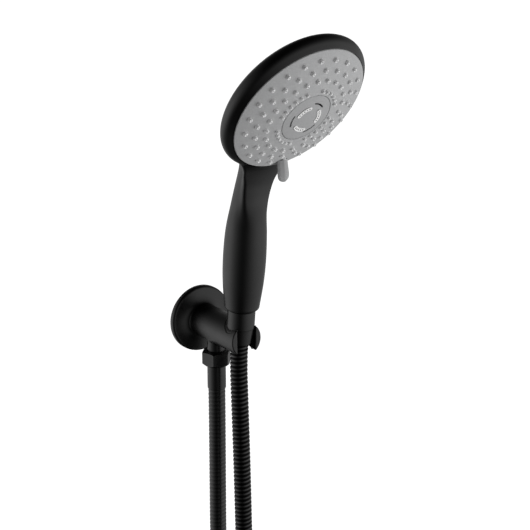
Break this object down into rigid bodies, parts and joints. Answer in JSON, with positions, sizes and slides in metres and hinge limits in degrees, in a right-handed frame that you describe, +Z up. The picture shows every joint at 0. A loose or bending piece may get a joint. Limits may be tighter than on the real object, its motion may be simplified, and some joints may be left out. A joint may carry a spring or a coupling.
{
  "type": "handheld shower head",
  "caption": "Handheld shower head with a domed nozzle face and selector lever, its hose, and a round wall bracket that is also the water outlet and cradle.",
  "frame": {"origin": "centre of the bracket's wall face, on the axis of the water inlet", "axes": "+Y into the wall along the water inlet, +Z up, +X to the right of someone facing the wall"},
  "size_m": [0.1297, 0.1914, 0.7502],
  "materials": {
    "body": "satin",
    "fittings": "satin",
    "hose": "satin",
    "liner": "matte",
    "face": "satin",
    "nozzles": "matte",
    "pale_plastic": "matte",
    "limiter": "matte",
    "strap": "matte",
    "rubber": "matte",
    "brass": "satin",
    "steel": "brushed"
  },
  "bodies": {
    "wall_bracket": {"wall_flange": "body", "bracket_arm": "body", "cradle_liner": "liner", "wall_seal": "rubber", "inlet_nipple": "brass", "grub_screw": "steel", "outlet_nipple": "fittings", "valve_body": "pale_plastic", "valve_spring": "steel", "outlet_washer": "rubber", "hex_nut": "fittings", "lower_tail": "brass", "lower_ferrule": "fittings", "lower_strand": "hose", "hose_hank": "hose", "hank_strap": "strap", "upper_strand": "hose"},
    "poppet": {"valve_poppet": "pale_plastic"},
    "hose_end": {"upper_ferrule": "fittings", "upper_tail": "brass"},
    "handset": {"filter_washer": "rubber", "cone_nut": "fittings", "inlet_insert": "brass", "flow_limiter": "limiter", "limiter_ring": "rubber", "core_ring": "rubber", "waterway_core": "pale_plastic", "rear_housing": "body", "core_screws": "steel", "thread_insert": "brass", "face_ring": "rubber", "port_seal": "rubber", "seal_spring": "steel", "detent_leaf": "steel", "pivot_screw": "steel", "screw_washer": "steel"},
    "spray_head": {"selector_disc": "pale_plastic", "spray_chamber": "pale_plastic", "nozzle_mat": "nozzles", "spray_face": "face", "selector_lever": "face", "centre_disc": "face"},
    "turbine_wheel": {"turbine": "pale_plastic"}
  },
  "joints": [
    {"name": "valve_travel", "type": "slide", "parent": "wall_bracket", "child": "poppet", "axis": [0, -1, 0], "range_m": [0, 0.002], "stiffness_N_per_m": 150, "springref_m": -0.001, "deforming": ["valve_spring"]},
    {"name": "handset_lift", "type": "slide", "parent": "wall_bracket", "child": "hose_end", "axis": [0, -0.1045, 0.9945], "range_m": [0, 0.045]},
    {"name": "handset_swivel", "type": "hinge", "parent": "hose_end", "child": "handset", "pos_m": [0, -0.0665, 0], "axis": [0, -0.1045, 0.9945], "range_deg": [-90, 90]},
    {"name": "spray_selector", "type": "hinge", "parent": "handset", "child": "spray_head", "pos_m": [0.00479, -0.14325, 0.20611], "axis": [0.0762, -0.8158, -0.5732], "range_deg": [-25, 25]},
    {"name": "turbine_spin", "type": "hinge", "parent": "spray_head", "child": "turbine_wheel", "pos_m": [0.00479, -0.14325, 0.20611], "axis": [0.0762, -0.8158, -0.5732], "continuous": true}
  ]
}
